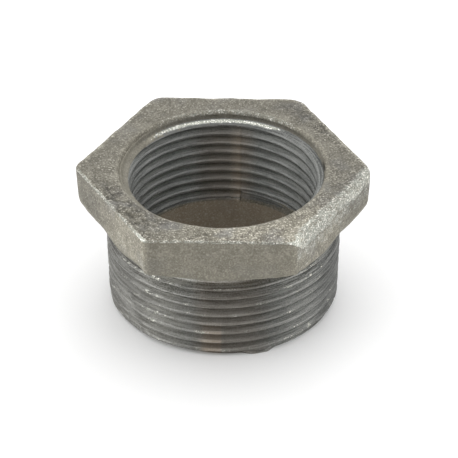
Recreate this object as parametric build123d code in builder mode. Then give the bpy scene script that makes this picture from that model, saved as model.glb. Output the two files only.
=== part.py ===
"""Hex reducing bushing, a one-piece cast and turned pipe fitting.

The hexagon head is as cast, with draft on its six flats and rounded edges.
Below it stands the shank, whose outer taper thread is cut as one true helical groove.
The bore holds the inner taper thread from its mouth down, and is left as cast below that.
The inner thread is drawn as the tapered wall over its crests.
The origin is at the centre of the bottom face, the bore runs along Z, and a flat faces -Y.
"""

import math
import os

from build123d import *

# Taper of both threads, as radius gained or lost per millimetre of height
taper_per_mm = 1 / 16 / 2

# Overall height and the hexagon head
total_height = 30.6
head_thickness = 10.2
across_flats = 53.4
head_draft_deg = 3.5
front_corner_radius = 1.0
side_corner_radius = 3.0
back_corner_radius = 4.5
top_edge_radius = 0.9
underside_land_diameter = 51.0
underside_bevel_deg = 21.0

# Shank, measured over the thread crests at its small end
shank_end_diameter = 47.39
lead_chamfer_depth = 0.9
lead_chamfer_height = 1.3
neck_diameter = 45.4
neck_width = 2.3
neck_shoulder_deg = 60.0

# Outer thread: 60 degree taper pipe thread, with its crests and roots a little flattened
thread_pitch = 25.4 / 11.5
thread_height = 1.42
thread_root_flat = 0.24
thread_flank_deg = 30.0

# Height of the groove's middle where it starts on the +X side, below the bottom face
groove_start_z = -1.39

# Bore, measured over the thread crests at the mouth
mouth_crest_diameter = 38.47
inner_thread_depth = 20.2
thread_end_deg = 30.0
core_diameter = 36.8
core_end_chamfer = 0.6

# Rim of the mouth: a cast recess, a little off centre, and a turned chamfer in its floor
recess_diameter = 42.2
recess_depth = 0.95
recess_draft = 0.1
recess_offset_x = -0.2
recess_offset_y = -0.1
rim_edge_chamfer = 0.35
mouth_chamfer_diameter = 41.6
mouth_chamfer_deg = 38.0

# How far a cut runs on past the face that it opens, and the groove past the crests
past_face = 1.0
past_crest = 0.12

# Heights that follow from the sizes above
underside_z = total_height - head_thickness
recess_floor_z = total_height - recess_depth
neck_z = underside_z - neck_width
thread_end_z = total_height - inner_thread_depth


def shank_radius(z):
    """Radius over the outer thread's crests at height z."""
    return shank_end_diameter / 2 + z * taper_per_mm


def bore_radius(z):
    """Radius over the inner thread's crests at height z."""
    return mouth_crest_diameter / 2 - (total_height - z) * taper_per_mm


def is_upright(edge):
    """Does this edge stand up, as the corners of the head do?"""
    return abs(edge.tangent_at(0.5).Z) > 0.5


def groove_edge(middle_z, over_crest, along):
    """One turn of an edge of the groove: a helix on a cone of the thread's taper."""
    start_z = middle_z + along
    helix = Helix(
        pitch=thread_pitch,
        height=thread_pitch,
        radius=shank_radius(start_z) + over_crest,
        center=(0, 0, start_z),
        cone_angle=math.degrees(math.atan(taper_per_mm)),
    )
    return helix.edge()


def groove_turn(middle_z):
    """Solid of one turn of the outer groove: four helical walls and a flat cap at each end."""
    root = thread_root_flat / 2
    mouth = root + (thread_height + past_crest) * math.tan(math.radians(thread_flank_deg))
    section = [
        (-thread_height, -root),
        (-thread_height, root),
        (past_crest, mouth),
        (past_crest, -mouth),
    ]
    edges = [groove_edge(middle_z, over_crest, along) for over_crest, along in section]
    neighbours = list(zip(edges, edges[1:] + edges[:1]))
    faces = [Face.make_surface_from_curves(edge, following) for edge, following in neighbours]
    for end in (0, 1):
        sides = [Edge.make_line(edge @ end, following @ end) for edge, following in neighbours]
        faces.append(Face(Wire(sides)))
    return Solid(Shell(faces))


with BuildPart() as shank:
    # Lead chamfer, tapered wall, shoulder and neck, up to the head's underside
    neck_radius = neck_diameter / 2
    shoulder_step = shank_radius(neck_z) - neck_radius
    shoulder_z = neck_z - shoulder_step / math.tan(math.radians(neck_shoulder_deg))
    with BuildSketch(Plane.YZ):
        with BuildLine():
            Polyline(
                (0, 0),
                (shank_radius(0) - lead_chamfer_depth, 0),
                (shank_radius(lead_chamfer_height), lead_chamfer_height),
                (shank_radius(shoulder_z), shoulder_z),
                (neck_radius, neck_z),
                (neck_radius, underside_z),
                (0, underside_z),
                close=True,
            )
        make_face()
    revolve(axis=Axis.Z)

    # Thread, cut turn by turn until the groove runs out in the air round the neck
    groove_turns = math.ceil((neck_z - groove_start_z) / thread_pitch)
    for turn in range(groove_turns):
        add(groove_turn(groove_start_z + turn * thread_pitch), mode=Mode.SUBTRACT)

with BuildPart() as hex_bushing:
    # Head: a hexagon with a corner on the X axis, its flats drafted inwards from the top
    with BuildSketch(Plane.XY.offset(total_height)):
        RegularPolygon(across_flats / 2, 6, major_radius=False)
    extrude(amount=-head_thickness)
    flats = hex_bushing.faces().filter_by(Axis.Z, reverse=True)
    draft(flats, Plane.XY.offset(total_height), -head_draft_deg)

    # Its corners: the front two are crisp, and the rest came rounder from the sand
    for end, radius in ((0, front_corner_radius), (-1, back_corner_radius)):
        corners = hex_bushing.edges().filter_by(is_upright).group_by(Axis.Y)[end]
        fillet(corners, radius)
    for end in (0, -1):
        corner = hex_bushing.edges().filter_by(is_upright).group_by(Axis.X)[end]
        fillet(corner, side_corner_radius)

    # Its underside rises towards the corners, as a shallow cone round a flat land
    land_radius = underside_land_diameter / 2
    bevel_rise = (across_flats - land_radius) * math.tan(math.radians(underside_bevel_deg))
    with BuildSketch(Plane.YZ):
        with BuildLine():
            Polyline(
                (0, underside_z),
                (land_radius, underside_z),
                (across_flats, underside_z + bevel_rise),
                (across_flats, total_height + bevel_rise),
                (0, total_height + bevel_rise),
                close=True,
            )
        make_face()
    revolve(axis=Axis.Z, mode=Mode.INTERSECT)
    top_face = hex_bushing.faces().sort_by(Axis.Z)[-1]
    fillet(top_face.outer_wire().edges(), top_edge_radius)

    # The threaded shank joins it below
    add(shank.part)

    # Bore: the cast core, the end of the thread, its tapered wall and the turned chamfer
    core_radius = core_diameter / 2
    chamfer_radius = mouth_chamfer_diameter / 2
    chamfer_slope = math.tan(math.radians(mouth_chamfer_deg))
    chamfer_end_z = recess_floor_z - (chamfer_radius - bore_radius(recess_floor_z)) * chamfer_slope
    thread_end_step = bore_radius(thread_end_z) - core_radius
    core_top_z = thread_end_z - thread_end_step * math.tan(math.radians(thread_end_deg))
    with BuildSketch(Plane.YZ):
        with BuildLine():
            Polyline(
                (0, -past_face),
                (core_radius + core_end_chamfer + past_face, -past_face),
                (core_radius, core_end_chamfer),
                (core_radius, core_top_z),
                (bore_radius(thread_end_z), thread_end_z),
                (bore_radius(chamfer_end_z), chamfer_end_z),
                (chamfer_radius, recess_floor_z),
                (chamfer_radius, total_height + past_face),
                (0, total_height + past_face),
                close=True,
            )
        make_face()
    revolve(axis=Axis.Z, mode=Mode.SUBTRACT)

    # Recess: cast round the mouth, a little off the axis of the threads, with its rim broken
    recess_centre = (recess_offset_x, recess_offset_y)
    with BuildSketch(Plane.XY.offset(recess_floor_z)):
        with Locations(recess_centre):
            Circle(recess_diameter / 2 - recess_draft)
    with BuildSketch(Plane.XY.offset(total_height)):
        with Locations(recess_centre):
            Circle(recess_diameter / 2)
    loft(mode=Mode.SUBTRACT)
    top_face = hex_bushing.faces().sort_by(Axis.Z)[-1]
    chamfer(top_face.inner_wires()[0].edges(), rim_edge_chamfer)

hex_bushing.part.label = "hex_bushing"

os.makedirs("parts", exist_ok=True)
export_step(hex_bushing.part, "parts/hex_bushing.step")
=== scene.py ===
"""The hex reducing bushing dressed as the real casting, in a plain pale studio.

One closed mesh stands for the solid. It follows the casting's section all the way round, and its
rows run along both taper threads, so that every crest and root is a clean helical edge.
Sizes are in millimetres in the part's own frame, and turn to metres when the mesh is made.
Angles run anticlockwise from +X, seen from above.
"""

import logging
import math
from dataclasses import dataclass, field
from enum import Enum
from functools import partial
from typing import NamedTuple

import bpy
from mathutils import Matrix, Vector, noise


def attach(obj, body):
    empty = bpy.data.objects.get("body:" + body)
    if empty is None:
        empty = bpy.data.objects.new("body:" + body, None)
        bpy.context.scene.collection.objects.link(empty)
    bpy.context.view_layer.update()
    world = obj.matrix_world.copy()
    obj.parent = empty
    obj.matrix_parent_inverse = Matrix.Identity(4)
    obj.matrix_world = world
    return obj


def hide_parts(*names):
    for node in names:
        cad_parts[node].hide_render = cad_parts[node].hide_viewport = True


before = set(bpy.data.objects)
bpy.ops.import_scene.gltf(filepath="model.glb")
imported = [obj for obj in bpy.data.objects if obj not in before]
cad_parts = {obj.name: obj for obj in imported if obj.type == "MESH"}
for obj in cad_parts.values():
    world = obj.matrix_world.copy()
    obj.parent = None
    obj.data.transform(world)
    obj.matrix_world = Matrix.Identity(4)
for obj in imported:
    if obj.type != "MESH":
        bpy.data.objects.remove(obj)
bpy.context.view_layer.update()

log = logging.getLogger("hex_bushing")

MM = 0.001
NODE = "hex_bushing"
BODY = "root"

# Point attributes of the mesh, which the material reads
SURFACE = ("turned", "bare_and_highlight", "stain_and_reflection", "grain", "shade")

# Settings of the nodes that the material uses more than once
MULTIPLY = {"operation": "MULTIPLY"}
SMOOTH = {"interpolation_type": "SMOOTHSTEP"}
COLOUR = {"data_type": "RGBA"}

# A row of mesh points by its stretch and its number there, and a section point's radius and height
Row = tuple[str, int]
Point = tuple[float, float]


def linear(hex_colour: str) -> tuple[float, float, float, float]:
    """Turns an sRGB hex colour to the linear values that the shaders take.

    Args:
        hex_colour: Six hex digits after a hash, such as "#7d776d".

    Returns:
        Red, green, blue and an alpha of one.
    """
    parts = [int(hex_colour[i : i + 2], 16) / 255 for i in (1, 3, 5)]
    red, green, blue = (c / 12.92 if c <= 0.04045 else ((c + 0.055) / 1.055) ** 2.4 for c in parts)
    return red, green, blue, 1.0


def blend(low: float, high: float, share: float) -> float:
    """Goes from low to high as share goes from 0 to 1."""
    return low + (high - low) * share


def ramp(low: float, high: float, value: float) -> float:
    """A smooth step from 0 at low to 1 at high, whichever of the two is larger."""
    share = min(1.0, max(0.0, (value - low) / (high - low)))
    return share * share * (3 - 2 * share)


def degrees_from(mark_deg: float, angle: float) -> float:
    """How far a direction in radians lies past a mark in degrees, between -180 and 180 degrees."""
    return (math.degrees(angle) - mark_deg + 180) % 360 - 180


def around(mark_deg: float, low: float, high: float, angle: float) -> float:
    """A smooth step by how far a direction in radians lies from a mark: 0 at low degrees, 1 at high."""
    return ramp(low, high, abs(degrees_from(mark_deg, angle)))


def lumps(angle: float, radius: float, height: float, size: float, seed: float = 0.0) -> float:
    """Smooth noise at a point of the casting.

    Args:
        angle: Direction round the axis, in radians.
        radius: Distance from the axis.
        height: Height over the bottom face.
        size: How wide one lump is.
        seed: Moves the pattern, so that two uses of it differ.

    Returns:
        A number between about -1 and 1.
    """
    x = radius * math.cos(angle) / size + seed
    y = radius * math.sin(angle) / size - seed
    return noise.noise(Vector((x, y, height / size + 0.37 * seed)))


class Station(NamedTuple):
    """One mesh point: its row, its place and how the surface there was made.

    turned runs from 0 for cast skin to 1 for a face that a tool cut, bare_and_highlight from 0 to
    about 1 for iron rubbed bright and for painted highlights, and stain_and_reflection from 0 to 1
    for dried oil and a painted warm reflection. grain scales the texture and its painted glints, and
    shade scales the lightness, painting light and shade into the colour as well as the iron's tone.
    """

    row: Row
    angle: float
    radius: float
    height: float
    turned: float = 0.0
    bare_and_highlight: float = 0.0
    stain_and_reflection: float = 0.0
    grain: float = 1.0
    shade: float = 1.0

    def place(self) -> tuple[float, float, float]:
        """The point in metres."""
        x, y = self.radius * math.cos(self.angle), self.radius * math.sin(self.angle)
        return x * MM, y * MM, self.height * MM


@dataclass(frozen=True)
class Column:
    """One upright slice of the casting, with its direction on the threads and on the head."""

    turn: float
    crowding: float = 0.6

    @property
    def angle(self) -> float:
        """Direction on the round parts, in radians."""
        return 2 * math.pi * self.turn

    @property
    def head_angle(self) -> float:
        """Direction on the hexagon, where the slices crowd towards the corners.

        Returns:
            The direction, in radians.
        """
        share = self.turn * 6
        corner = math.floor(share)
        offset = share - corner - 0.5
        crowded = offset + self.crowding / (2 * math.pi) * math.sin(2 * math.pi * offset)
        return math.pi / 3 * (corner + 0.5 + crowded)


class Patch(NamedTuple):
    """A worn or unformed stretch, by direction in degrees and by height, or by radius on the top."""

    angle: float
    half_width: float
    level: float
    half_level: float

    def share(self, angle: float, level: float) -> float:
        """How far a point lies inside the patch.

        Args:
            angle: Direction of the point, in radians.
            level: Its height, or on the top its distance from the axis.

        Returns:
            1 in the middle, falling to 0 at the edge.
        """
        across = degrees_from(self.angle, angle) / self.half_width
        up = (level - self.level) / self.half_level
        return ramp(1.0, 0.35, math.hypot(across, up))


def share_in(patches: tuple[Patch, ...], angle: float, level: float) -> float:
    """How far a point lies inside the patch that holds it best, from 0 to 1."""
    return max(patch.share(angle, level) for patch in patches)


class Sector(NamedTuple):
    """A stretch of a round face that differs from the rest, by direction in degrees.

    It is nothing at reach degrees from its middle and has its full weight at core degrees. One
    whose core is the larger of the two leaves its middle out.
    """

    angle: float
    reach: float
    core: float
    weight: float = 1.0

    def at(self, angle: float) -> float:
        """How much of it there is in a direction given in radians."""
        return self.weight * around(self.angle, self.reach, self.core, angle)


@dataclass(frozen=True)
class TaperThread:
    """A right-hand taper pipe thread, 60 degrees, 11.5 turns to the inch, cut a little shallow.

    Its crests stand at crest_radius at the height crest_radius_at, and narrow downwards by the
    taper. crest_height is where the middle of a crest crosses the +X direction.
    """

    crest_radius: float
    crest_radius_at: float
    crest_height: float
    pitch: float = 25.4 / 11.5
    taper: float = 1 / 32
    depth: float = 1.42
    crest_half: float = 0.16
    root_half: float = 0.11
    crest_round: float = 0.05
    rows_per_turn: int = 10

    @property
    def flank(self) -> float:
        """How much of the height one flank takes."""
        return self.pitch / 2 - self.crest_half - self.root_half

    def row_offsets(self) -> list[float]:
        """Heights of the rows of one turn, over the middle of its crest.

        Returns:
            One height for each of rows_per_turn rows, round the crest, down a flank and up the next.
        """
        low, high = self.crest_half - self.crest_round, self.crest_half + self.crest_round
        near, far = self.crest_half + 0.36 * self.flank, self.crest_half + 0.7 * self.flank
        root = self.pitch / 2 - self.root_half
        upward = [-high, -low, low, high, near, far, root]
        return upward + [self.pitch - root, self.pitch - far, self.pitch - near]

    def rows(self, column: Column, low: float, high: float) -> list[tuple[int, float]]:
        """The helical rows that cross one slice.

        Args:
            column: The slice.
            low: Height under which no row is wanted.
            high: Height over which no row is wanted.

        Returns:
            Number and height of each row, from the lowest up. A row keeps its number all the way
            round, and ends a turn later where the row rows_per_turn above it began.
        """
        offsets = self.row_offsets()
        start = self.crest_height + self.pitch * column.turn
        first = math.floor((low - start) / self.pitch) - 1
        last = math.ceil((high - start) / self.pitch)
        found = [
            (turn * self.rows_per_turn + count, start + turn * self.pitch + offset)
            for turn in range(first, last + 1)
            for count, offset in enumerate(offsets)
        ]
        return [(row, height) for row, height in found if low < height < high]

    def phase(self, angle: float, height: float) -> float:
        """Turns from the reference crest to a point: whole on a crest, and a half on a root."""
        return (height - self.crest_height) / self.pitch - angle / (2 * math.pi)

    def crest(self, height: float) -> float:
        """Radius over the crests at a height."""
        return self.crest_radius + (height - self.crest_radius_at) * self.taper

    def cut(self, angle: float, height: float) -> float:
        """Depth of the thread under its crests at a point.

        Args:
            angle: Direction of the point, in radians.
            height: Height of the point.

        Returns:
            0 on a crest, and the full depth on a root.
        """
        phase = self.phase(angle, height)
        offset = abs(phase - round(phase)) * self.pitch
        slope = self.depth / self.flank
        past = offset - self.crest_half
        if past < -self.crest_round:
            return 0.0
        if past < self.crest_round:
            return slope * (past + self.crest_round) ** 2 / (4 * self.crest_round)
        return min(self.depth, slope * past)

    def groove_height(self, angle: float, height: float) -> float:
        """Height of the middle of the groove that a point lies in, in its own direction."""
        groove = math.floor(self.phase(angle, height)) + 0.5
        return self.crest_height + self.pitch * (groove + angle / (2 * math.pi))


@dataclass(frozen=True)
class Shank:
    """The threaded end: its resting face, lead chamfer, outer thread, shoulder and neck."""

    core_radius: float
    core_chamfer: float
    underside: float
    end_radius: float = 23.695
    lead_depth: float = 0.9
    lead_height: float = 1.3
    neck_radius: float = 22.7
    neck_bottom: float = 18.1
    shoulder_bottom: float = 17.2
    shoulder_deg: float = 60.0
    reference_deg: float = -91.6
    reference_height: float = 1.36
    lead_rows: int = 9
    shoulder_rows: int = 7
    wear: float = 0.06
    chip_depth: float = 0.42
    burr_height: float = 0.95
    # Painted light in the grooves
    painted_groove_light: float = 0.4
    # Middle of the front stain and of the painted warm reflection
    stain_and_reflection_deg: float = -90.0
    unformed: tuple[Patch, ...] = (
        Patch(-151, 17, 6.3, 3.9),
        Patch(-143, 20, 1.8, 3.0),
        Patch(38, 21, 4.4, 2.9),
    )
    burr: Patch = Patch(-70, 10, 0.2, 1.5)
    bright_lines: tuple[Patch, ...] = (
        Patch(-127, 34, 16.9, 0.9),
        Patch(-46, 26, 15.6, 2.6),
        Patch(-88, 24, 17.2, 0.5),
    )
    chipped: tuple[Patch, ...] = (
        Patch(-124, 16, 7.2, 2.1),
        Patch(-128, 30, 16.6, 0.9),
        Patch(-138, 18, 12.6, 2.4),
        Patch(-60, 13, 16.0, 0.8),
        Patch(-56, 4, 7.5, 0.9),
        Patch(-38, 8, 1.7, 1.4),
        Patch(105, 24, 13.5, 2.4),
    )
    # Painted light and shade on the thread, by direction
    light_and_shade_sectors: tuple[Sector, ...] = (
        Sector(-120, 26, 5, 0.38),
        Sector(-48, 22, 5, 0.29),
        Sector(-84, 22, 8, -0.12),
    )
    # More painted light in the grooves on the left
    painted_root_light: Sector = Sector(-150, 50, 25, 0.3)

    @property
    def thread(self) -> TaperThread:
        """The outer thread, its reference crest brought round to the +X direction."""
        start = self.reference_height - TaperThread.pitch * self.reference_deg / 360
        return TaperThread(self.end_radius, 0.0, start)

    def lead(self, height: float) -> float:
        """Radius of the lead chamfer.

        Args:
            height: Height over the bottom face.

        Returns:
            The radius there, which is under the thread's crests up to the chamfer's top.
        """
        start = self.thread.crest(0) - self.lead_depth
        slope = (self.thread.crest(self.lead_height) - start) / self.lead_height
        return start + slope * height

    def shoulder(self, height: float) -> float:
        """Radius of the shoulder at a height, where the thread gives way to the neck."""
        return self.neck_radius + (self.neck_bottom - height) * math.tan(math.radians(self.shoulder_deg))

    def chips(self, angle: float, height: float) -> float:
        """How badly the crests are knocked at a point.

        Args:
            angle: Direction of the point, in radians.
            height: Height of the point.

        Returns:
            0 on a sound crest, and 1 where a chip is at its deepest.
        """
        rough = lumps(angle, self.end_radius, height, 0.9, 3.1)
        scattered = ramp(0.42, 0.7, lumps(angle, self.end_radius, height, 1.7, 8.4))
        return max(share_in(self.chipped, angle, height) * ramp(-0.1, 0.5, rough), 0.5 * scattered)

    def tone(self, angle: float) -> float:
        """How light the thread is in a direction.

        Args:
            angle: The direction, in radians.

        Returns:
            A factor near 1 that paints light and shade: less in front and on the right and behind, and
            more on the front left and front right.
        """
        degrees = degrees_from(0, angle)
        away = 0.24 * ramp(-40, -14, degrees) * ramp(175, 120, degrees)
        return 0.9 + sum(sector.at(angle) for sector in self.light_and_shade_sectors) - away

    def shade(self, angle: float, height: float) -> float:
        """How light the threaded wall is at a point.

        Args:
            angle: Direction of the point, in radians.
            height: Height of the point.

        Returns:
            The tone of its direction, with painted light in the grooves and on the last turn, and a
            painted warm highlight on the crests where the warm reflection lies.
        """
        depth = self.thread.cut(angle, height) / self.thread.depth
        lift = self.painted_groove_light + self.painted_root_light.at(angle)
        painted_last_turn_light = 0.3 * ramp(self.shoulder_bottom - 0.4, self.shoulder_bottom + 0.4, height)
        painted_warm_highlight = 0.7 * self.painted_warm_reflection(angle, height) * ramp(0.4, 0.05, depth)
        return self.tone(angle) * (1 + lift * depth) * (1 + painted_last_turn_light) * (1 + painted_warm_highlight)

    def painted_warm_reflection(self, angle: float, height: float) -> float:
        """How strongly a painted warm reflection, a streak low in front, lies at a point, from 0 to 1."""
        off = degrees_from(self.stain_and_reflection_deg, angle)
        return ramp(-13, -7, off) * ramp(1.5, 0.3, off) * ramp(11, 5, height)

    def stain_and_reflection(self, angle: float, height: float) -> float:
        """How brown the thread is at a point, from dried oil and from the painted warm reflection.

        Args:
            angle: Direction of the point, in radians.
            height: Height of the point.

        Returns:
            A share from 0 to 1: a thin film of oil all round, a broad stain in front, and the painted
            warm reflection in it.
        """
        off = degrees_from(self.stain_and_reflection_deg, angle)
        broad = 0.32 * ramp(-20, -6, off) * ramp(34, 10, off)
        return max(0.08 - 0.05 * math.cos(angle), 0.6 * self.painted_warm_reflection(angle, height), broad)

    def station(self, row: Row, angle: float, height: float) -> Station:
        """One point of the threaded wall.

        Args:
            row: Which row the point is on.
            angle: Its direction, in radians.
            height: Its height.

        Returns:
            The point, with its crest worn, chipped or left unformed as it is there.
        """
        thread = self.thread
        crest = thread.crest(height)
        radius = crest - thread.cut(angle, height)
        chip = self.chips(angle, height)
        worn_and_highlight = 0.5 + 0.5 * lumps(angle, crest, height, 2.3, 5.0)
        limit = crest - self.wear * worn_and_highlight - self.chip_depth * chip
        bare_and_highlight, shade = 0.0, self.shade(angle, height)
        # Worn and chipped crests are bare iron, which also paints their highlights
        if radius > limit - 0.07:
            line = share_in(self.bright_lines, angle, height)
            line *= ramp(-0.15, 0.35, lumps(angle, crest, height, 0.8, 6.9))
            bare_and_highlight = max(1.3 * chip, 0.45 * ramp(0.45, 0.8, worn_and_highlight), 0.7 * line)
        raw = share_in(self.unformed, angle, height)
        skin = crest + 0.25 - 0.85 * raw + 0.12 * lumps(angle, crest, height, 1.3, 2.0)
        if skin < limit:
            limit = skin
            if radius > limit - 0.05:
                bare_and_highlight, shade = 0.3, 1.3
        radius = min(radius, limit, self.lead(height), self.shoulder(height))
        radius -= 0.02 * (1 + lumps(angle, crest, height, 3.0, 1.0))
        radius = min(crest, radius + self.burr_height * self.burr.share(angle, height))
        grain = blend(0.65, 1.0, ramp(12, 15.5, height))
        return Station(row, angle, radius, height, 1.0, bare_and_highlight, self.stain_and_reflection(angle, height), grain, shade)

    def stations(self, column: Column) -> list[Station]:
        """The slice from the inner edge of the resting face up to the neck's top.

        Args:
            column: The slice.

        Returns:
            Its points, from the resting face upwards.
        """
        angle = column.angle
        made = []
        outer = self.station(("lead", 0), angle, 0.0)
        inner = self.core_radius + self.core_chamfer
        for count, share in enumerate((0.0, 0.3, 0.65)):
            radius = blend(inner, outer.radius, share)
            made.append(Station(("foot", count), angle, radius, 0.0, 1.0))
        for count in range(self.lead_rows):
            height = self.lead_height * count / self.lead_rows
            made.append(self.station(("lead", count), angle, height))
        low, high = self.lead_height - 0.05, self.shoulder_bottom - 0.05
        for row, height in self.thread.rows(column, low, high):
            made.append(self.station(("outer", row), angle, height))
        for count in range(self.shoulder_rows):
            height = blend(self.shoulder_bottom, self.neck_bottom, count / (self.shoulder_rows - 1))
            made.append(self.station(("shoulder", count), angle, height))
        for count, share in enumerate((0.35, 0.7, 0.92)):
            height = blend(self.neck_bottom, self.underside, share)
            radius = self.neck_radius - 0.05 * (1 + lumps(angle, self.neck_radius, height, 1.5, 4.0))
            # The neck's colour is lifted a little as painted light
            made.append(Station(("neck", count), angle, radius, height, turned=0.6, shade=1.05))
        return made


class Flat(Enum):
    """The six flats of the head, by the direction that each faces in degrees."""

    BACK_RIGHT = 30
    BACK = 90
    BACK_LEFT = 150
    FRONT_LEFT = 210
    FRONT = 270
    FRONT_RIGHT = 330


class Swell(NamedTuple):
    """A stretch of an edge, by direction in degrees, that lies higher or lower than the true form."""

    angle: float
    half_width: float
    rise: float

    def at(self, angle: float) -> float:
        """How much it lifts the edge in a direction given in radians."""
        return self.rise * around(self.angle, self.half_width, 0.0, angle)


class EdgeWear(NamedTuple):
    """How far a top edge is rounded: down the flat, in along the top, and how bright it is."""

    drop: float
    inset: float
    bright: float


@dataclass(frozen=True)
class HexHead:
    """The cast head: drafted flats, worn edges, a bevelled underside and an uneven top.

    corner_radii go round from the +X corner. An edge worn down by more than deep_drop is rubbed on
    the top beside it too. The skin's noise on the flats is read at noise_radius whatever the wear,
    so that it runs on evenly over the edges.
    """

    top: float
    mouth_radius: float
    neck_radius: float
    across_flats: float = 53.4
    thickness: float = 10.2
    draft_deg: float = 3.5
    land_radius: float = 25.5
    bevel_deg: float = 21.0
    bottom_round: tuple[float, float] = (0.3, 1.3)
    corner_radii: tuple[float, ...] = (3.0, 4.5, 4.5, 3.0, 1.0, 1.0)
    edges: dict[Flat, EdgeWear] = field(
        default_factory=lambda: {
            Flat.BACK_RIGHT: EdgeWear(0.9, 0.8, 0.3),
            Flat.BACK: EdgeWear(1.0, 0.9, 0.3),
            Flat.BACK_LEFT: EdgeWear(1.1, 1.0, 0.3),
            Flat.FRONT_LEFT: EdgeWear(0.5, 0.45, 0.55),
            Flat.FRONT: EdgeWear(0.5, 0.4, 0.5),
            Flat.FRONT_RIGHT: EdgeWear(3.2, 1.2, 0.6),
        }
    )
    scarred: tuple[Patch, ...] = (
        Patch(218, 34, 25.5, 5.5),
        Patch(38, 32, 26.5, 4.5),
        Patch(262, 14, 24.8, 2.5),
    )
    lower_edge: tuple[Swell, ...] = (
        Swell(203, 15, 0.8),
        Swell(232, 12, 0.6),
        Swell(241, 5, -0.4),
        Swell(267, 16, -0.22),
        Swell(336, 13, 0.8),
    )
    knock_and_highlight_left_deg: float = 239.5
    knock_and_highlight_right: Sector = Sector(300, 6, 1, 0.8)
    front_light: Sector = Sector(292, 58, 10, 0.55)
    deep_drop: float = 1.5
    noise_radius: float = 27.0
    side_rows: int = 13
    top_rows: int = 15

    @property
    def underside(self) -> float:
        """Height of the flat land under the head."""
        return self.top - self.thickness

    def apothem(self, height: float) -> float:
        """Distance from the axis to the flats at a height."""
        return self.across_flats / 2 - (self.top - height) * math.tan(math.radians(self.draft_deg))

    def outline(self, angle: float, apothem: float) -> float:
        """Radius of the rounded hexagon.

        Args:
            angle: Direction from the axis, in radians.
            apothem: Distance from the axis to the flats.

        Returns:
            Distance from the axis to the outline in that direction.
        """
        corner = round(angle / (math.pi / 3))
        off = angle - corner * math.pi / 3
        rounding = self.corner_radii[corner % 6]
        centre = (apothem - rounding) / math.cos(math.pi / 6)
        touch = math.atan2(rounding / 2, centre + rounding * math.cos(math.pi / 6))
        if abs(off) < touch:
            return centre * math.cos(off) + math.sqrt(rounding**2 - (centre * math.sin(off)) ** 2)
        return apothem / math.cos(math.pi / 6 - abs(off))

    def edge_wear(self, angle: float) -> EdgeWear:
        """The top edge's wear in a direction, passing smoothly from flat to flat at the corners.

        Args:
            angle: The direction, in radians.

        Returns:
            The wear there, a little uneven along each edge.
        """
        degrees = math.degrees(angle) % 360
        corner = round(degrees / 60) * 60
        share = ramp(-2, 5, degrees - corner)
        before, after = (self.edges[Flat((corner + side) % 360)] for side in (-30, 30))
        drop, inset, bright = (blend(a, b, share) for a, b in zip(before, after))
        uneven = 1 + 0.35 * lumps(angle, 28, 0, 2.6, 6.0)
        return EdgeWear(drop * uneven, inset * uneven, bright)

    def bottom_edge(self, angle: float) -> tuple[float, float]:
        """The flat's lower edge, before it is rounded.

        Args:
            angle: The direction, in radians.

        Returns:
            Radius and height where the drafted flat meets the underside, found in three tries.
        """
        height = self.underside
        radius = 0.0
        for _ in range(3):
            radius = self.outline(angle, self.apothem(height))
            height = self.under(angle, radius)
        return radius, height

    def bottom_rounding(self, angle: float) -> float:
        """Rounding of the flat's lower edge, which grows towards the two side corners."""
        return blend(*self.bottom_round, max(around(side, 42, 8, angle) for side in (0, 180)))

    def under(self, angle: float, radius: float) -> float:
        """The underside, a shallow cone that is uneven towards its edge.

        Args:
            angle: Direction of the point, in radians.
            radius: Its distance from the axis.

        Returns:
            Height of the point.
        """
        rise = math.tan(math.radians(self.bevel_deg))
        ragged = 0.2 * lumps(angle, self.noise_radius, 0, 1.2, 2.7)
        uneven = sum(swell.at(angle) for swell in self.lower_edge) + ragged
        cone = self.underside + max(0.0, radius - self.land_radius) * rise
        return cone + uneven * ramp(23.2, 25.6, radius)

    def skin(self, angle: float, radius: float, height: float) -> float:
        """How far the cast skin lies under the true surface at a point, which is always inwards."""
        broad, fine = (1 + lumps(angle, radius, height, *kind) for kind in ((7.5, 1.7), (1.3, 9.2)))
        return 0.03 * broad + 0.025 * fine

    def side(self, angle: float, height: float) -> float:
        """Distance from the axis to the cast skin of the flats at a point."""
        return self.outline(angle, self.apothem(height)) - self.skin(angle, self.noise_radius, height)

    def stations(self, column: Column) -> list[Station]:
        """The slice from the underside at the neck, round the head, to the mouth's edge.

        Args:
            column: The slice.

        Returns:
            Its points, from the neck outwards, up and in.
        """
        angle = column.head_angle
        edge_radius, edge_height = self.bottom_edge(angle)
        rounding = self.bottom_rounding(angle)
        made = []
        for count, share in enumerate((0.0, 0.2, 0.45, 0.7, 0.9)):
            radius = blend(self.neck_radius, edge_radius - rounding, share)
            turn = blend(column.angle, angle, share)
            height = self.under(turn, radius) + self.skin(turn, radius, self.underside)
            made.append(Station(("under", count), turn, radius, height, grain=0.5))
        start = (edge_radius - rounding, self.under(angle, edge_radius - rounding))
        risen = edge_height + rounding
        end = (self.outline(angle, self.apothem(risen)), risen)
        for count, (radius, height) in enumerate(arc(start, (edge_radius, edge_height), end, 4)):
            inset = self.skin(angle, radius, height)
            made.append(Station(("lower", count), angle, radius - inset, height, bare_and_highlight=0.3, grain=0.2))
        wear = self.edge_wear(angle)
        shoulder = self.top - wear.drop
        for count in range(1, self.side_rows + 1):
            height = blend(risen, shoulder, count / self.side_rows)
            radius = self.side(angle, height)
            made.append(
                Station(
                    ("side", count),
                    angle,
                    radius,
                    height,
                    bare_and_highlight=self.rub(angle, height),
                    grain=blend(0.35, 0.65, around(Flat.FRONT.value, 28, 32, angle)),
                    shade=self.pale(angle, height),
                )
            )
        return made + self.top_stations(column, wear)

    def rub(self, angle: float, height: float) -> float:
        """How bright a point of the flats is rubbed: the front right one, towards its top."""
        low = self.top - 7.5 + 1.5 * lumps(angle, self.noise_radius, height, 2.4, 3.9)
        return blend(0.22, 0.45, ramp(low, low + 3, height)) * around(Flat.FRONT_RIGHT.value, 33, 27, angle)

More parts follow.
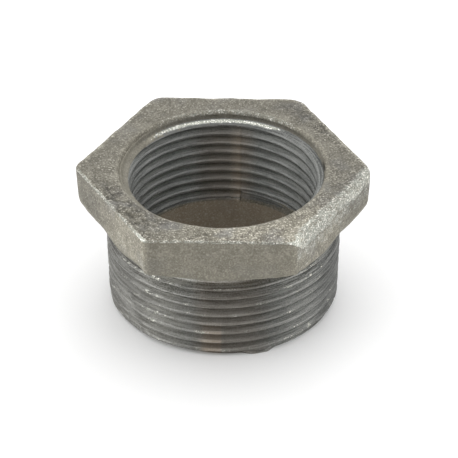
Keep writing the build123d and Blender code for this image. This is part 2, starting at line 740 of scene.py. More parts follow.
    def pale(self, angle: float, height: float) -> float:
        """How light the flats are at a point.

        Args:
            angle: Direction of the point, in radians.
            height: Height of the point.

        Returns:
            A factor near 1: painted light on the two flats beside the front one, in clouds, and painted
            shade towards the side corners, with a painted highlight line and a darker band beside it at
            the front left corner.
        """
        side = degrees_from(Flat.FRONT.value, angle)
        off = abs(side)
        beside = ramp(28, 32, off) * ramp(92, 88, off)
        pit = ramp(0.25, 0.5, lumps(angle, self.noise_radius, height, 1.0, 2.9))
        cloud = 0.12 * lumps(angle, self.noise_radius, height, 2.6, 7.3) - 0.2 * pit
        corner = max(0.56 * ramp(48, 80, off), 0.24 * ramp(28, 32, side))
        # A painted highlight line down the front left corner, and a darker band beside it
        worn_and_highlight = 0.2 * ramp(2.5, 0.5, abs(side + 30.5))
        dark_band = 0.1 * ramp(1.0, 3.0, side + 30) * ramp(9, 3, side + 30)
        return 1.0 + beside * (0.36 + cloud - corner) + worn_and_highlight - dark_band

    def top_stations(self, column: Column, wear: EdgeWear) -> list[Station]:
        """The slice over the top edge and in to the mouth's edge.

        Args:
            column: The slice.
            wear: How the top edge is worn there.

        Returns:
            The points, from the flat's upper end inwards.
        """
        angle = column.head_angle
        shoulder = self.top - wear.drop
        low = (self.side(angle, shoulder), shoulder)
        high = self.side(angle, self.top)
        start = (high - wear.inset, self.top - self.relief(angle, high - wear.inset))
        made = []
        knock_and_highlight = self.knock_and_highlight(angle)
        # The top edge is rubbed bare and painted lighter as a highlight, most where it is knocked
        look = {"bare_and_highlight": max(wear.bright, knock_and_highlight), "shade": 1.15 + 0.7 * knock_and_highlight}
        for count, (radius, height) in enumerate(arc(low, (high, self.top - 0.05), start, 6)):
            rough = 0.03 * (1 + lumps(angle, radius, height, 0.8, 7.7))
            made.append(Station(("edge", count), angle, radius - rough, height - rough, **look))
        for count in range(1, self.top_rows + 1):
            share = count / (self.top_rows + 1)
            turn = blend(angle, column.angle, share)
            radius = blend(start[0], self.mouth_radius, share)
            height = self.top - self.relief(turn, radius)
            scar = share_in(self.scarred, turn, radius)
            # grain is stronger in the scars and towards the front, where it paints denser glints, and tone
            # paints light and shade
            look = {
                "bare_and_highlight": wear.bright * ramp(0.45, 0.05, share) if wear.drop > self.deep_drop else 0.0,
                "grain": blend(0.66, 1.25, max(scar, ramp(0.4, -0.85, math.sin(turn)))),
                "shade": self.tone(turn, radius),
            }
            made.append(Station(("top", count), turn, radius, height, **look))
        return made

    def knock_and_highlight(self, angle: float) -> float:
        """How brightly the edge is knocked and painted as a highlight in a direction: before one front
        corner, and at the other.
        """
        left = degrees_from(self.knock_and_highlight_left_deg, angle)
        return max(ramp(-10, -1, left) * ramp(1.5, 0.5, left), self.knock_and_highlight_right.at(angle))

    def tone(self, angle: float, radius: float) -> float:
        """How light the top's skin is at a point.

        Args:
            angle: Direction of the point, in radians.
            radius: Its distance from the axis.

        Returns:
            A factor near 1: painted shade in the hollows and on the right, painted light in front, and
            clouds.
        """
        cloud = 0.07 * lumps(angle, radius, 0, 3.4, 2.2)
        right = 0.05 * ramp(-0.2, 0.6, math.cos(angle))
        return 0.82 + cloud + self.front_light.at(angle) - right - 0.32 * self.hollow(angle, radius)

    def relief(self, angle: float, radius: float) -> float:
        """How far the uneven top lies under the head's full height.

        Args:
            angle: Direction of the point, in radians.
            radius: Its distance from the axis.

        Returns:
            A depth of up to about a third of a millimetre.
        """
        broad = 0.06 * (1 + lumps(angle, radius, 0, 8.5, 3.3))
        fine = 0.03 * (1 + lumps(angle, radius, 0, 1.2, 0.4))
        return broad + fine + 0.26 * self.hollow(angle, radius)

    def hollow(self, angle: float, radius: float) -> float:
        """The worn hollows of the casting's face, in the band between mouth and edge.

        Args:
            angle: Direction of the point, in radians.
            radius: Its distance from the axis.

        Returns:
            How deep in a hollow the point lies, from 0 to 1.
        """
        inwards = radius - self.mouth_radius
        band = ramp(0.0, 1.2, inwards) * ramp(7.0, 4.5, inwards)
        broad = ramp(-0.25, 0.25, lumps(angle, radius, 0, 6.5, 8.8))
        plain = 0.4 * broad * ramp(0.08, 0.4, lumps(angle, radius, 0, 1.6, 5.6))
        torn = lumps(angle, radius, 0, 1.15, 5.6) + 0.4 * lumps(angle, radius, 0, 0.6, 1.9)
        return band * max(plain, share_in(self.scarred, angle, radius) * ramp(0.0, 0.3, torn))


@dataclass(frozen=True)
class Mouth:
    """The rim of the bore: a cast recess a little off centre, and a turned cove below it.

    Down the cove lie cast skin above cast_from, a facet painted pale and light as a reflection
    from reflection_to down to a nibbled edge at about nibbled_from, and a raw step from raw_to down.
    Sectors say where the rim is rounded far over, where a glint and shade are painted on it, and
    where the cove faces the light, is left as cast or is pitted.
    """

    top: float
    recess_radius: float = 21.15
    recess_offset: tuple[float, float] = (-0.2, -0.1)
    recess_depth: float = 0.98
    edge_round: float = 0.6
    cove: tuple[Point, ...] = (
        (20.95, 29.62),
        (20.62, 28.95),
        (19.9, 28.6),
        (19.25, 28.33),
    )
    cove_rows: tuple[int, ...] = (4, 4, 3)
    rounded: Sector = Sector(45, 60, 110)
    painted_rim_glint: Sector = Sector(88, 70, 30, 0.45)
    # Painted shade in the recess's corner at the back
    dark_band: Sector = Sector(88, 80, 30, 0.5)
    facing: Sector = Sector(92, 64, 26)
    left_cast: Sector = Sector(215, 110, 55)
    pitted: Sector = Sector(0, 14, 8, 0.8)
    cast_from: float = 28.9
    reflection_to: float = 29.0
    nibbled_from: float = 28.57
    raw_to: float = 28.46

    @property
    def cove_bottom(self) -> float:
        """Height at which the cove meets the first crest."""
        return self.cove[-1][1]

    def rim(self, angle: float) -> float:
        """Radius of the recess's ragged edge.

        Args:
            angle: The direction, in radians.

        Returns:
            Its distance from the threads' axis, which the recess's own centre lies a little off.
        """
        across, along = self.recess_offset
        ragged = 0.1 * lumps(angle, self.recess_radius, 0, 2.4, 4.4) + 0.06 * lumps(angle, 21, 0, 0.8, 1.4)
        return self.recess_radius + across * math.cos(angle) + along * math.sin(angle) + ragged

    def stations(self, column: Column, thread: TaperThread, face: float) -> list[Station]:
        """The slice from the rim's edge down the recess and the cove.

        Args:
            column: The slice.
            thread: The inner thread, whose grooves cut into the cove.
            face: Height of the top face beside the rim.

        Returns:
            The points, from the top downwards.
        """
        angle = column.angle
        rim = self.rim(angle)
        floor = self.top - self.recess_depth
        soft = self.rounded.at(angle)
        start = (rim + self.edge_round, face)
        end = (rim - 0.04, face - blend(self.edge_round, 0.85, soft))
        # A painted glint along the rim's edge at the back
        bare_and_highlight = self.painted_rim_glint.at(angle)
        made = []
        for count, (radius, height) in enumerate(arc(start, (rim, face - 0.03), end, 4)):
            made.append(Station(("rim", count), angle, radius, height, bare_and_highlight=bare_and_highlight, grain=0.6))
        # Painted shade in the recess's corner, less where the rim is rounded far over
        shut = blend(self.shut(angle), 1.0, soft)
        made.append(Station(("recess", 0), angle, rim - 0.1, floor + 0.06, grain=0.3, shade=shut))
        section = [
            [blend(a, b, step / rows) for a, b in zip(low, high)]
            for rows, low, high in zip(self.cove_rows, self.cove, self.cove[1:])
            for step in range(rows)
        ]
        for count, (radius, height) in enumerate(section):
            made.append(self.cove_station(("cove", count), angle, radius, height, thread))
        return made

    def cove_station(
        self, row: Row, angle: float, radius: float, height: float, thread: TaperThread
    ) -> Station:
        """One point of the cove.

        Args:
            row: Which row the point is on.
            angle: Its direction, in radians.
            radius: The cove's radius there.
            height: Its height.
            thread: The inner thread, whose grooves cut into the cove.

        Returns:
            The point, pushed out where a groove breaks in.
        """
        groove = thread.crest(height) + thread.cut(angle, height)
        if groove > radius:
            return Station(row, angle, groove, height, turned=1.0)
        left = self.left_cast.at(angle)
        nibbled = self.nibbled_from + 0.1 * lumps(angle, radius, 0, 0.9, 6.1)
        # The facet's painted reflection, round the cove and strongest where it faces the light
        painted_reflection = max(self.facing.at(angle), 0.4 * (1 - left))
        painted_reflection *= ramp(self.reflection_to, self.reflection_to - 0.18, height)
        painted_reflection *= ramp(nibbled - 0.05, nibbled + 0.05, height)
        raw = ramp(self.raw_to, self.raw_to - 0.1, height)
        cast = max(ramp(self.cast_from, self.cast_from + 0.3, height), left)
        # Painted shade high under the rim, the painted reflection lighter, and the raw step darker
        shut = blend(0.9, self.shut(angle), ramp(28.8, 29.3, height))
        ragged = 0.12 * raw * lumps(angle, radius, height, 0.8, 6.1)
        return Station(
            row,
            angle,
            radius + ragged,
            height + 0.3 * ragged,
            turned=1.0 - max(0.8 * raw, cast),
            bare_and_highlight=0.8 * painted_reflection,
            grain=0.3,
            shade=shut * (1 + 1.1 * painted_reflection) * (1 - 0.35 * raw),
        )

    def shut(self, angle: float) -> float:
        """How light the recess's corner is in a direction: dark in pits, and with painted shade at the
        back.
        """
        pits = ramp(-0.1, 0.25, lumps(angle, self.recess_radius, 0, 1.1, 3.7))
        return 1.0 - max(self.dark_band.at(angle), self.pitted.at(angle) * pits)


@dataclass(frozen=True)
class Bore:
    """The inner thread, its last turn, and the bore left as cast below it.

    The seam is a faint line down the back of the bore, where the painted warm reflection stops
    short. The crests beside it are painted darker as shade, and the flanks painted lighter on the
    right.
    """

    mouth: Mouth
    core_radius: float = 18.4
    core_chamfer: float = 0.6
    mouth_crest_radius: float = 19.235
    reference_deg: float = 92.0
    reference_height: float = 28.2
    last_groove: float = 11.56
    thread_bottom: float = 9.95
    fade_deg: float = 36.0
    painted_flank_light: tuple[float, float] = (0.8, 1.15)
    core_rows: int = 12
    seam: Sector = Sector(80.625, 0.7, 0.0)
    # Where crests and flanks are painted darker as shade, at the back
    dull: Sector = Sector(96, 15, 7)
    painted_light_right: Sector = Sector(66, 60, 30)
    # Painted highlights on the crests
    light_and_shade_sectors: tuple[Sector, ...] = (Sector(84.5, 6, 1.5, 0.14), Sector(52, 20, 6, 0.16))

    @property
    def thread(self) -> TaperThread:
        """The inner thread, its reference crest brought round to the +X direction."""
        start = self.reference_height - TaperThread.pitch * self.reference_deg / 360
        return TaperThread(self.mouth_crest_radius, self.mouth.top, start)

    def reach(self, angle: float, height: float) -> float:
        """How fully the groove at a point was cut.

        Args:
            angle: Direction of the point, in radians.
            height: Height of the point.

        Returns:
            1 up to where the tap stopped, and then a shallow cut that fades to 0.
        """
        groove = self.thread.groove_height(angle, height)
        past = (self.last_groove - groove) / self.thread.pitch * 360
        if past <= 0:
            return 1.0
        return 0.34 * max(0.0, 1 - past / self.fade_deg)

    def station(self, row: Row, angle: float, height: float) -> Station:
        """One point of the threaded wall.

        Args:
            row: Which row the point is on.
            angle: Its direction, in radians.
            height: Its height.

        Returns:
            The point, with the cast wall showing wherever the tap didn't reach.
        """
        thread = self.thread
        reach = self.reach(angle, height)
        crest = thread.crest(height)
        cut = thread.cut(angle, height) * reach
        core = self.core_radius - 0.04 * (1 + lumps(angle, self.core_radius, height, 1.6, 2.5))
        formed = reach == 1.0 or self.reach(angle, height + thread.crest_half * 2) == 1.0
        if formed:
            chip = ramp(0.35, 0.7, lumps(angle, crest, height, 1.5, 7.1))
            wear = 0.05 * (1 + lumps(angle, crest, height, 2.2, 6.6)) + 0.2 * chip
            radius = max(crest + cut, crest + wear)
            # Chipped crests are bare, and a highlight is painted on the crests
            bare_and_highlight = max(0.5 * chip, 0.3 * self.painted_crest_highlight(angle)) if cut < 0.03 else 0.0
            turned = 1.0
        else:
            radius = core + cut
            bare_and_highlight = 0.0
            turned = min(1.0, cut / 0.12)
        seam = self.seam.at(angle)
        radius += 0.02 * seam * ramp(25, 14, height)
        # Painted light and shade: crests by direction, flanks lighter, the seam a little darker
        depth = cut / thread.depth
        flank = ramp(0.1, 0.6, depth) * blend(1.0, 0.75, ramp(0.75, 1.0, depth))
        lift = blend(*self.painted_flank_light, self.painted_light_right.at(angle)) - 0.35 * self.dull.at(angle)
        shade = (self.crest_shade(angle) + lift * flank) * (1 - 0.2 * seam)
        stain_and_reflection = self.stain_and_reflection(angle, height)
        return Station(row, angle, radius, height, turned, bare_and_highlight, stain_and_reflection, grain=0.6, shade=shade)

    def painted_crest_highlight(self, angle: float) -> float:
        """How strongly a highlight is painted on the crests in a direction: least on the left."""
        return ramp(-1.0, 0.3, math.cos(angle))

    def crest_shade(self, angle: float) -> float:
        """How light the crests are in a direction: painted shade at the back, and painted highlights
        right of it.
        """
        return 0.92 - 0.22 * self.dull.at(angle) + sum(sector.at(angle) for sector in self.light_and_shade_sectors)

    def stain_and_reflection(self, angle: float, height: float) -> float:
        """How brown the thread is at a point, from dried oil and from a painted warm reflection.

        Args:
            angle: Direction of the point, in radians.
            height: Height of the point.

        Returns:
            A share from 0 to 1: a broad stain on both sides of the seam, and the painted warm reflection
            on one.
        """
        off = degrees_from(self.seam.angle, angle)
        painted_warm_reflection = 0.6 * ramp(16, 1, off) * ramp(-0.6, 0.1, off)
        return max(painted_warm_reflection, 0.36 * ramp(-12, -1, off) * ramp(36, 14, off)) * ramp(30, 24, height)

    def stations(self, column: Column) -> list[Station]:
        """The slice from the cove down to the inner edge of the resting face.

        Args:
            column: The slice.

        Returns:
            Its points, from the top downwards.
        """
        angle = column.angle
        rows = self.thread.rows(column, self.thread_bottom, self.mouth.cove_bottom)
        made = [self.station(("inner", row), angle, height) for row, height in reversed(rows)]
        for count in range(self.core_rows):
            height = blend(self.thread_bottom - 0.15, self.core_chamfer, count / (self.core_rows - 1))
            skin = 0.05 * (1 + lumps(angle, self.core_radius, height, 2.1, 2.5))
            radius = self.core_radius - skin
            # The cast core is browned, and its colour lifted as painted light
            made.append(Station(("core", count), angle, radius, height, stain_and_reflection=0.57, grain=0.5, shade=1.26))
        end = self.core_radius + self.core_chamfer / 2
        made.append(Station(("core end", 0), angle, end, self.core_chamfer * 0.4, turned=0.5))
        return made


def arc(start: Point, corner: Point, end: Point, count: int) -> list[Point]:
    """Points along a rounded corner of the section.

    Args:
        start: Radius and height where the rounding begins.
        corner: Where the two sides would meet.
        end: Where the rounding ends.
        count: How many points to give, start and end included.

    Returns:
        The points, on a parabola that touches both sides.
    """
    made = []
    for step in range(count):
        t = step / (count - 1)
        weights = ((1 - t) ** 2, 2 * t * (1 - t), t * t)
        radius, height = (sum(w * p[i] for w, p in zip(weights, (start, corner, end))) for i in (0, 1))
        made.append((radius, height))
    return made


@dataclass
class HexBushing:
    """The whole casting as one closed mesh."""

    slices: int = 384
    top: float = 30.6

    def __post_init__(self) -> None:
        """Makes the sub-parts, which share their meeting sizes."""
        self.mouth = Mouth(self.top)
        self.bore = Bore(self.mouth)
        rim = self.mouth.recess_radius + self.mouth.edge_round
        self.head = HexHead(self.top, mouth_radius=rim, neck_radius=Shank.neck_radius)
        self.shank = Shank(self.bore.core_radius, self.bore.core_chamfer, self.head.underside)

    def slice(self, column: Column) -> list[Station]:
        """Every point of one slice.

        Args:
            column: The slice.

        Returns:
            Its points, from the resting face out, up, over and down the bore.
        """
        face = self.top - self.head.relief(column.angle, self.head.mouth_radius)
        return [
            *self.shank.stations(column),
            *self.head.stations(column),
            *self.mouth.stations(column, self.bore.thread, face),
            *self.bore.stations(column),
        ]

    def build(self) -> bpy.types.Object:
        """Makes the mesh, with its surface kinds as point attributes.

        Returns:
            The new object, linked to the scene.
        """
        slices = [self.slice(Column(count / self.slices)) for count in range(self.slices)]
        starts = [0]
        for stations in slices:
            starts.append(starts[-1] + len(stations))
        points = [station for stations in slices for station in stations]
        faces: list[tuple[int, ...]] = []
        for count, stations in enumerate(slices):
            last = count == self.slices - 1
            following = slices[0] if last else slices[count + 1]
            left = [(s.row, starts[count] + i) for i, s in enumerate(stations)]
            first = 0 if last else starts[count + 1]
            right = [(self.row_after(s.row, last), first + i) for i, s in enumerate(following)]
            faces.extend(stitch(left + left[:1], right + right[:1]))
        mesh = bpy.data.meshes.new("bushing_casting")
        mesh.from_pydata([station.place() for station in points], [], faces)
        for name in SURFACE:
            attribute = mesh.attributes.new(name, "FLOAT", "POINT")
            attribute.data.foreach_set("value", [getattr(station, name) for station in points])
        mesh.polygons.foreach_set("use_smooth", [True] * len(mesh.polygons))
        mesh.set_sharp_from_angle(angle=math.radians(50))
        mesh.validate()
        made = bpy.data.objects.new("bushing_casting", mesh)
        bpy.context.scene.collection.objects.link(made)
        return made

    def row_after(self, row: Row, seam: bool) -> Row:
        """The row that a row of the next slice stands for in this one.

        Args:
            row: The row's name and number in the next slice.
            seam: Is this the last slice, which closes on the first?

        Returns:
            The same row, or for a thread one turn lower at the seam.
        """
        name, count = row
        if seam and name in ("outer", "inner"):
            return name, count - TaperThread.rows_per_turn
        return row


def stitch(left: list[tuple[Row, int]], right: list[tuple[Row, int]]) -> list[tuple[int, ...]]:
    """Faces between two neighbouring slices.

    Args:
        left: Row and mesh point of each station of the first slice, closed on itself.
        right: The same of the next slice round.

    Returns:
        A four-sided face where both slices hold a row, and a triangle where one row ends.
    """
    left_rows = {row for row, _ in left}
    right_rows = {row for row, _ in right}
    faces: list[tuple[int, ...]] = []
    i = j = 0
    while i < len(left) - 1 or j < len(right) - 1:
        if i < len(left) - 1 and left[i + 1][0] not in right_rows:
            faces.append((left[i][1], right[j][1], left[i + 1][1]))
            i += 1
        elif j < len(right) - 1 and right[j + 1][0] not in left_rows:
            faces.append((left[i][1], right[j][1], right[j + 1][1]))
            j += 1
        else:
            faces.append((left[i][1], right[j][1], right[j + 1][1], left[i + 1][1]))
            i += 1
            j += 1
    return faces


def add_node(
    tree: bpy.types.NodeTree,
    kind: str,
    *feeds: object,
    settings: dict[str, object] | None = None,
    **named: object,
) -> bpy.types.Node:
    """Adds one node, with its settings and what feeds it.

    Args:
        tree: The node tree that it goes into.
        kind: Blender's name for the kind of node, after ShaderNode.
        *feeds: What each input in use takes, in order: a value, an output, or a node, which stands
            for its first output in use.
        settings: Properties of the node itself, by name.
        **named: The same for other inputs, named in lower case with underscores for spaces.

    Returns:
        The new node.
    """
    node = tree.nodes.new("ShaderNode" + kind)
    for name, value in (settings or {}).items():
        setattr(node, name, value)
    used = [socket for socket in node.inputs if socket.enabled]
    by_name = {socket.name.lower().replace(" ", "_"): socket for socket in reversed(used)}
    taken = [*zip(used, feeds), *((by_name[name], value) for name, value in named.items())]
    for socket, value in taken:
        if isinstance(value, bpy.types.Node):
            value = next(output for output in value.outputs if output.enabled)
        if isinstance(value, bpy.types.NodeSocket):
            tree.links.new(value, socket)
        else:
            socket.default_value = value
    return node


def per_metre(size_mm: float) -> float:
    """The scale of a pattern whose features are that wide."""
    return 1 / (size_mm * MM)


@dataclass(frozen=True)
class CastSkin:
    """Malleable iron as it left the sand mould and the annealing oven, untouched by any tool.

    To the eye it is a matte, warm grey oxide skin, grainy like the sand, softly clouded, creased
    where the sand crumbled, and with small glints painted on single grains as highlights. The sand's
    grains are about 0.2 mm, and are drawn nearly twice as coarse so that they show.
    """

    pit: str = "#4a453d"
    dark: str = "#625e52"
    light: str = "#949083"
    cool: str = "#7c7c7b"
    painted_glint: str = "#c9c5b9"
    grain_mm: float = 0.36
    fold_mm: float = 1.7
    mottle_mm: float = 2.6
    metallic: float = 0.3
    roughness: float = 0.62
    relief_mm: float = 0.06


@dataclass(frozen=True)
class TurnedIron:
    """The same iron where a die, a tap or a facing tool cut it.

    To the eye it is darker and closer than the skin, with a dull sheen and faint scores round the
    axis, browned where oil dried and where a warm reflection is painted. A tool's scores are about
    0.1 mm apart and its speckle is as fine, and both are drawn two to three times as coarse so that
    they show.
    """

    dark: str = "#484a48"
    light: str = "#8e8f8c"
    stain_and_reflection: str = "#94826e"
    edge_mm: float = 0.7
    speckle_mm: float = 0.28
    score_mm: float = 0.24
    score_length_mm: float = 6.0
    metallic: float = 0.55
    roughness: float = 0.45
    relief_mm: float = 0.012


@dataclass(frozen=True)
class BareIron:
    """Iron rubbed or knocked through its oxide on edges and crests.

    To the eye it is pale and the shiniest of the three, in ragged flecks, because the high grains
    are rubbed first and the low ones keep their skin. Its colour also paints highlights on rims,
    crests, edges and the cove.
    """

    dull: str = "#878981"
    bright: str = "#dedbd2"
    fleck_mm: float = 0.28
    patch_mm: float = 1.3
    speck_mm: float = 0.33
    metallic: float = 0.75
    roughness: float = 0.38


@dataclass(frozen=True)
class MalleableIron:
    """The bushing's one material, which passes from cast skin to turned and to bare iron."""

    cast: CastSkin = CastSkin()
    turned: TurnedIron = TurnedIron()
    bare_and_highlight: BareIron = BareIron()

    def build(self) -> bpy.types.Material:
        """Makes the material.

        Returns:
            A material with one Principled shader, its colour and gloss led by the point attributes.
        """
        material = bpy.data.materials.new("malleable_iron_cast_and_turned")
        material.use_nodes = True
        tree = material.node_tree
        tree.nodes.clear()
        add = partial(add_node, tree)
        place = add("TexCoord").outputs["Object"]
        kinds = {
            name: add("Attribute", settings={"attribute_name": name}).outputs["Fac"]
            for name in SURFACE
        }
        cast, face, rub = self.cast, self.turned, self.bare_and_highlight

        # Where the face was turned, and where it is rubbed bare and where highlights are painted, both
        # with ragged edges
        ragged = add("TexNoise", place, per_metre(face.edge_mm), detail=3)
        turned = self.edge(tree, kinds["turned"], ragged)
        flecks = add("TexNoise", place, per_metre(rub.fleck_mm), detail=2)
        patches = add("TexNoise", place, per_metre(rub.patch_mm), detail=2)
        bright = self.edge(tree, kinds["bare_and_highlight"], add("Mix", 0.4, flecks, patches))

        # Colour: skin or turned face, browned by oil and a painted warm reflection, then the bare iron
        # and painted highlights, then how light it lies, with painted light and shade
        cast_colour, cast_height = self.cast_skin(tree, place, kinds["grain"])
        cut_colour, cut_height = self.turned_face(tree, place, kinds["grain"])
        colour = add("Mix", turned, cast_colour, cut_colour, settings=COLOUR)
        browned = add("Math", kinds["stain_and_reflection"], 0.7, settings=MULTIPLY)
        colour = add("Mix", browned, colour, linear(face.stain_and_reflection), settings=COLOUR)
        specks = add("TexNoise", place, per_metre(rub.speck_mm), detail=2)
        specks = add("MapRange", specks, 0.48, 0.68, settings=SMOOTH)
        rubbed_and_highlight = add("Mix", specks, linear(rub.dull), linear(rub.bright), settings=COLOUR)
        colour = add("Mix", bright, colour, rubbed_and_highlight, settings=COLOUR)
        colour = add("VectorMath", colour, kinds["shade"], settings={"operation": "SCALE"})

        # Gloss, with the IOR left at its default for a metal, and the relief of grain and scores
        metallic = add("Mix", turned, cast.metallic, face.metallic)
        roughness = add("Mix", turned, cast.roughness, face.roughness)
        height = add("Mix", turned, cast_height, cut_height)
        shader = add(
            "BsdfPrincipled",
            base_color=colour,
            metallic=add("Mix", bright, metallic, rub.metallic),
            roughness=add("Mix", bright, roughness, rub.roughness),
            normal=add("Bump", strength=1.0, distance=MM, height=height),
        )
        add("OutputMaterial", surface=shader)
        return material

    def edge(self, tree: bpy.types.NodeTree, value: object, ragged: bpy.types.Node) -> bpy.types.Node:
        """Turns a point attribute to a mask with a ragged edge.

        Args:
            tree: The material's nodes.
            value: The attribute, from 0 to 1.
            ragged: The noise that the edge follows.

        Returns:
            The mask: 0 where the attribute is next to nothing, and 1 where it and the noise are high.
        """
        add = partial(add_node, tree)
        pushed = add("Math", ragged, 1.8, value, settings={"operation": "MULTIPLY_ADD"})
        mask = add("MapRange", pushed, 1.25, 1.55, settings=SMOOTH)
        present = add("MapRange", value, 0.02, 0.2, settings=SMOOTH)
        return add("Math", mask, present, settings=MULTIPLY)

    def cast_skin(
        self, tree: bpy.types.NodeTree, place: bpy.types.NodeSocket, coarse: bpy.types.NodeSocket
    ) -> tuple[bpy.types.Node, bpy.types.Node]:
        """Dresses the cast skin.

        Args:
            tree: The material's nodes.
            place: The point, in metres.
            coarse: How strongly its grain and painted glints show, more on the top than on the flats.

        Returns:
            Its colour and its height in millimetres.
        """
        add = partial(add_node, tree)
        skin = self.cast
        grain = add("TexNoise", place, per_metre(skin.grain_mm), detail=3)
        mottle = add("TexNoise", place, per_metre(skin.mottle_mm), detail=4)
        tone = add("MapRange", add("Mix", 0.35, grain, mottle), 0.38, 0.62, settings=SMOOTH)
        tone = add("Mix", coarse, add("Mix", 0.75, tone, 0.5), tone)
        colour = add("Mix", tone, linear(skin.dark), linear(skin.light), settings=COLOUR)

        # Cool clouds where the oxide is thin
        cloud = add("TexNoise", place, per_metre(2.2 * skin.mottle_mm), detail=2)
        cloud = add("MapRange", cloud, 0.5, 0.7, settings=SMOOTH)
        cloud = add("Math", cloud, add("Math", coarse, 0.4, settings=MULTIPLY), settings=MULTIPLY)
        colour = add("Mix", cloud, colour, linear(skin.cool), settings=COLOUR)

        # Creases, then painted glints on single grains
        folds = add("Math", self.folds(tree, place), coarse, settings=MULTIPLY)
        colour = add("Mix", folds, colour, linear(skin.pit), settings=COLOUR)
        painted_glints = add("TexNoise", place, per_metre(skin.grain_mm), detail=1)
        painted_glints = add("MapRange", painted_glints, 0.6, 0.77, settings=SMOOTH)
        strength = add("MapRange", coarse, 0.1, 1.1, settings=SMOOTH)
        painted_glints = add("Math", painted_glints, strength, settings=MULTIPLY)
        colour = add("Mix", painted_glints, colour, linear(skin.painted_glint), settings=COLOUR)
        height = add("Math", grain, coarse, settings=MULTIPLY)
        return colour, add("Math", height, skin.relief_mm, settings=MULTIPLY)

    def folds(self, tree: bpy.types.NodeTree, place: bpy.types.NodeSocket) -> bpy.types.Node:
        """Short dark creases, which the sand left in patches: thin contour lines of a noise.

        Args:
            tree: The material's nodes.
            place: The point, in metres.

        Returns:
            How much of a crease is there, from 0 to 0.55.
        """
        add = partial(add_node, tree)
        wide = add("TexNoise", place, per_metre(self.cast.fold_mm), detail=2)
        centred = add("Math", wide, 0.5, settings={"operation": "SUBTRACT"})
        apart = add("Math", centred, settings={"operation": "ABSOLUTE"})
        crease = add("MapRange", apart, 0.07, 0.02, settings=SMOOTH)
        where = add("TexNoise", place, per_metre(3.1 * self.cast.fold_mm), detail=2)
        where = add("MapRange", where, 0.45, 0.58, settings=SMOOTH)
        return add("Math", add("Math", crease, where, settings=MULTIPLY), 0.55, settings=MULTIPLY)

    def turned_face(
        self, tree: bpy.types.NodeTree, place: bpy.types.NodeSocket, coarse: bpy.types.NodeSocket
    ) -> tuple[bpy.types.Node, bpy.types.Node]:
        """Dresses the turned faces, scored round the axis.

        Args:
            tree: The material's nodes.
            place: The point, in metres.
            coarse: How strongly the scores and speckle show.

        Returns:
            Their colour and their height in millimetres.
        """
        add = partial(add_node, tree)
        face = self.turned
        x, y, z = add("SeparateXYZ", place).outputs
        radius = add("VectorMath", add("CombineXYZ", x, y), settings={"operation": "LENGTH"})

        # A noise that is long round the axis and fine along it and outwards, with no seam
        drawn = [
            add("Math", way, per_metre(size_mm), settings=MULTIPLY)
            for way, size_mm in (
                (x, face.score_length_mm),
                (y, face.score_length_mm),
                (radius, face.score_mm),
                (z, face.score_mm),
            )
        ]
        scored = add("CombineXYZ", *drawn[:3])
        score = add("TexNoise", scored, drawn[3], 1.0, 2.0, settings={"noise_dimensions": "4D"})
        speckle = add("TexNoise", place, per_metre(face.speckle_mm), detail=3)
        tone = add("MapRange", add("Mix", 0.4, score, speckle), 0.38, 0.62, settings=SMOOTH)
        tone = add("Mix", coarse, 0.5, tone)
        colour = add("Mix", tone, linear(face.dark), linear(face.light), settings=COLOUR)
        return colour, add("Math", score, face.relief_mm, settings=MULTIPLY)


@dataclass(frozen=True)
class Softbox:
    """A square lamp that points at the bushing."""

    name: str
    place: tuple[float, float, float]
    side: float
    power: float
    colour: str = "#ffffff"

    def build(self, target: Vector) -> bpy.types.Object:
        """Makes the lamp.

        Args:
            target: The point that it faces, in metres.

        Returns:
            The lamp, linked to the scene.
        """
        lamp = bpy.data.lights.new(self.name, "AREA")
        lamp.size = self.side
        lamp.energy = self.power
        lamp.color = linear(self.colour)[:3]
        made = bpy.data.objects.new(self.name, lamp)
        made.location = self.place
        made.rotation_euler = (target - made.location).to_track_quat("-Z", "Y").to_euler()
        bpy.context.scene.collection.objects.link(made)
        return made


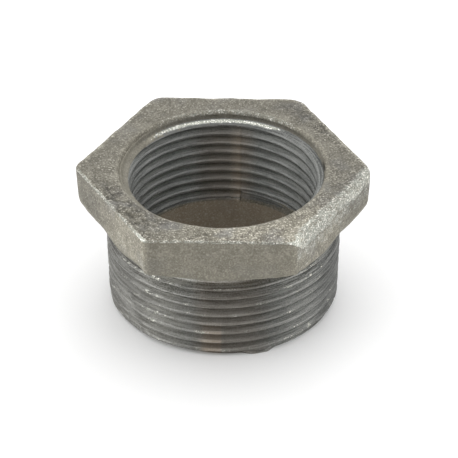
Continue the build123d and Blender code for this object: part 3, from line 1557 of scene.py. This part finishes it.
@dataclass(frozen=True)
class Studio:
    """White floor and surroundings, soft lamps, and the camera where the photograph was taken.

    Lamps stand in metres, and the camera in millimetres, as it was fitted to the photograph.
    """

    floor_side: float = 6.0
    floor_colour: str = "#f6f6f6"
    dome_front: float = 0.4
    dome_back: float = 2.0
    camera_place: tuple[float, float, float] = (21.069, -754.967, 537.862)
    elevation_deg: float = 34.681
    azimuth_deg: float = 1.51
    roll_deg: float = 0.02
    lens: float = 349.33
    target_height: float = 15.0
    lamps: tuple[Softbox, ...] = (
        Softbox("top_softbox", (0.0, 0.16, 0.95), 0.7, 0.3),
        Softbox("back_softbox", (0.15, 0.95, 0.62), 0.5, 1.2),
        Softbox("left_softbox", (-0.85, -0.25, 0.36), 0.8, 2.7),
        Softbox("right_softbox", (0.85, -0.1, 0.36), 0.8, 1.5),
    )

    def build(self) -> None:
        """Makes the floor, the world, the lamps and the camera."""
        self.floor()
        self.world()
        target = Vector((0, 0, self.target_height * MM))
        for lamp in self.lamps:
            lamp.build(target)
            log.info("lamp %s, %.1f W", lamp.name, lamp.power)
        self.camera()

    def floor(self) -> bpy.types.Object:
        """Makes the floor, matte white paper that keeps the bushing's shadow.

        Returns:
            The floor.
        """
        half = self.floor_side / 2
        mesh = bpy.data.meshes.new("paper_floor")
        corners = [(-half, -half, 0), (half, -half, 0), (half, half, 0), (-half, half, 0)]
        mesh.from_pydata(corners, [], [(0, 1, 2, 3)])
        material = bpy.data.materials.new("matte_white_paper")
        material.use_nodes = True
        material.node_tree.nodes.clear()

        # Uncoated paper scatters light evenly, so it shows a soft shadow and no reflection
        add = partial(add_node, material.node_tree)
        add("OutputMaterial", surface=add("BsdfDiffuse", linear(self.floor_colour)))
        mesh.materials.append(material)
        made = bpy.data.objects.new("paper_floor", mesh)
        bpy.context.scene.collection.objects.link(made)
        return made

    def world(self) -> None:
        """Makes the surroundings: white to look at, and as light a dome that dims to the front."""
        world = bpy.data.worlds.new("white_surroundings")
        bpy.context.scene.world = world
        world.use_nodes = True
        world.node_tree.nodes.clear()
        add = partial(add_node, world.node_tree)
        along = add("SeparateXYZ", add("TexCoord").outputs["Generated"]).outputs["Y"]
        dome = add("MapRange", along, -1.0, 1.0, self.dome_front, self.dome_back)

        # White to every ray that the camera sees, straight, by gloss or through glass
        path = add("LightPath").outputs
        seen = path["Is Camera Ray"]
        for ray in ("Is Glossy Ray", "Is Transmission Ray"):
            seen = add("Math", seen, path[ray], settings={"operation": "MAXIMUM"})
        sky = add("Background", linear("#ffffff"), add("Mix", seen, dome, 1.0))
        add("OutputWorld", surface=sky)

    def camera(self) -> None:
        """Makes the camera, from the pose and lens that fit the photograph."""
        lens = bpy.data.cameras.new("photo_camera")
        lens.lens = self.lens
        lens.sensor_width = 36.0
        lens.clip_start, lens.clip_end = 0.01, 20.0
        e, a, r = (math.radians(v) for v in (self.elevation_deg, self.azimuth_deg, self.roll_deg))
        ahead = Vector((-math.sin(a) * math.cos(e), math.cos(a) * math.cos(e), -math.sin(e)))
        level = Vector((math.cos(a), math.sin(a), 0))
        above = level.cross(ahead)
        right = level * math.cos(r) - above * math.sin(r)
        up = level * math.sin(r) + above * math.cos(r)
        turned = Matrix((right, up, -ahead)).transposed().to_4x4()
        made = bpy.data.objects.new("photo_camera", lens)
        made.matrix_world = Matrix.Translation(Vector(self.camera_place) * MM) @ turned
        bpy.context.scene.collection.objects.link(made)
        bpy.context.scene.camera = made


def main() -> None:
    """Builds the bushing and its studio, in order."""
    logging.basicConfig(level=logging.INFO, format="%(name)s: %(message)s")
    bpy.context.scene.view_settings.view_transform = "Standard"
    bushing = HexBushing()
    casting = bushing.build()
    casting.data.materials.append(MalleableIron().build())
    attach(casting, BODY)
    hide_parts(NODE)
    triangles = sum(len(face.vertices) - 2 for face in casting.data.polygons)
    log.info("piece %s, %d points, %d triangles", casting.name, len(casting.data.vertices), triangles)
    Studio().build()


if __name__ == "__main__":
    main()
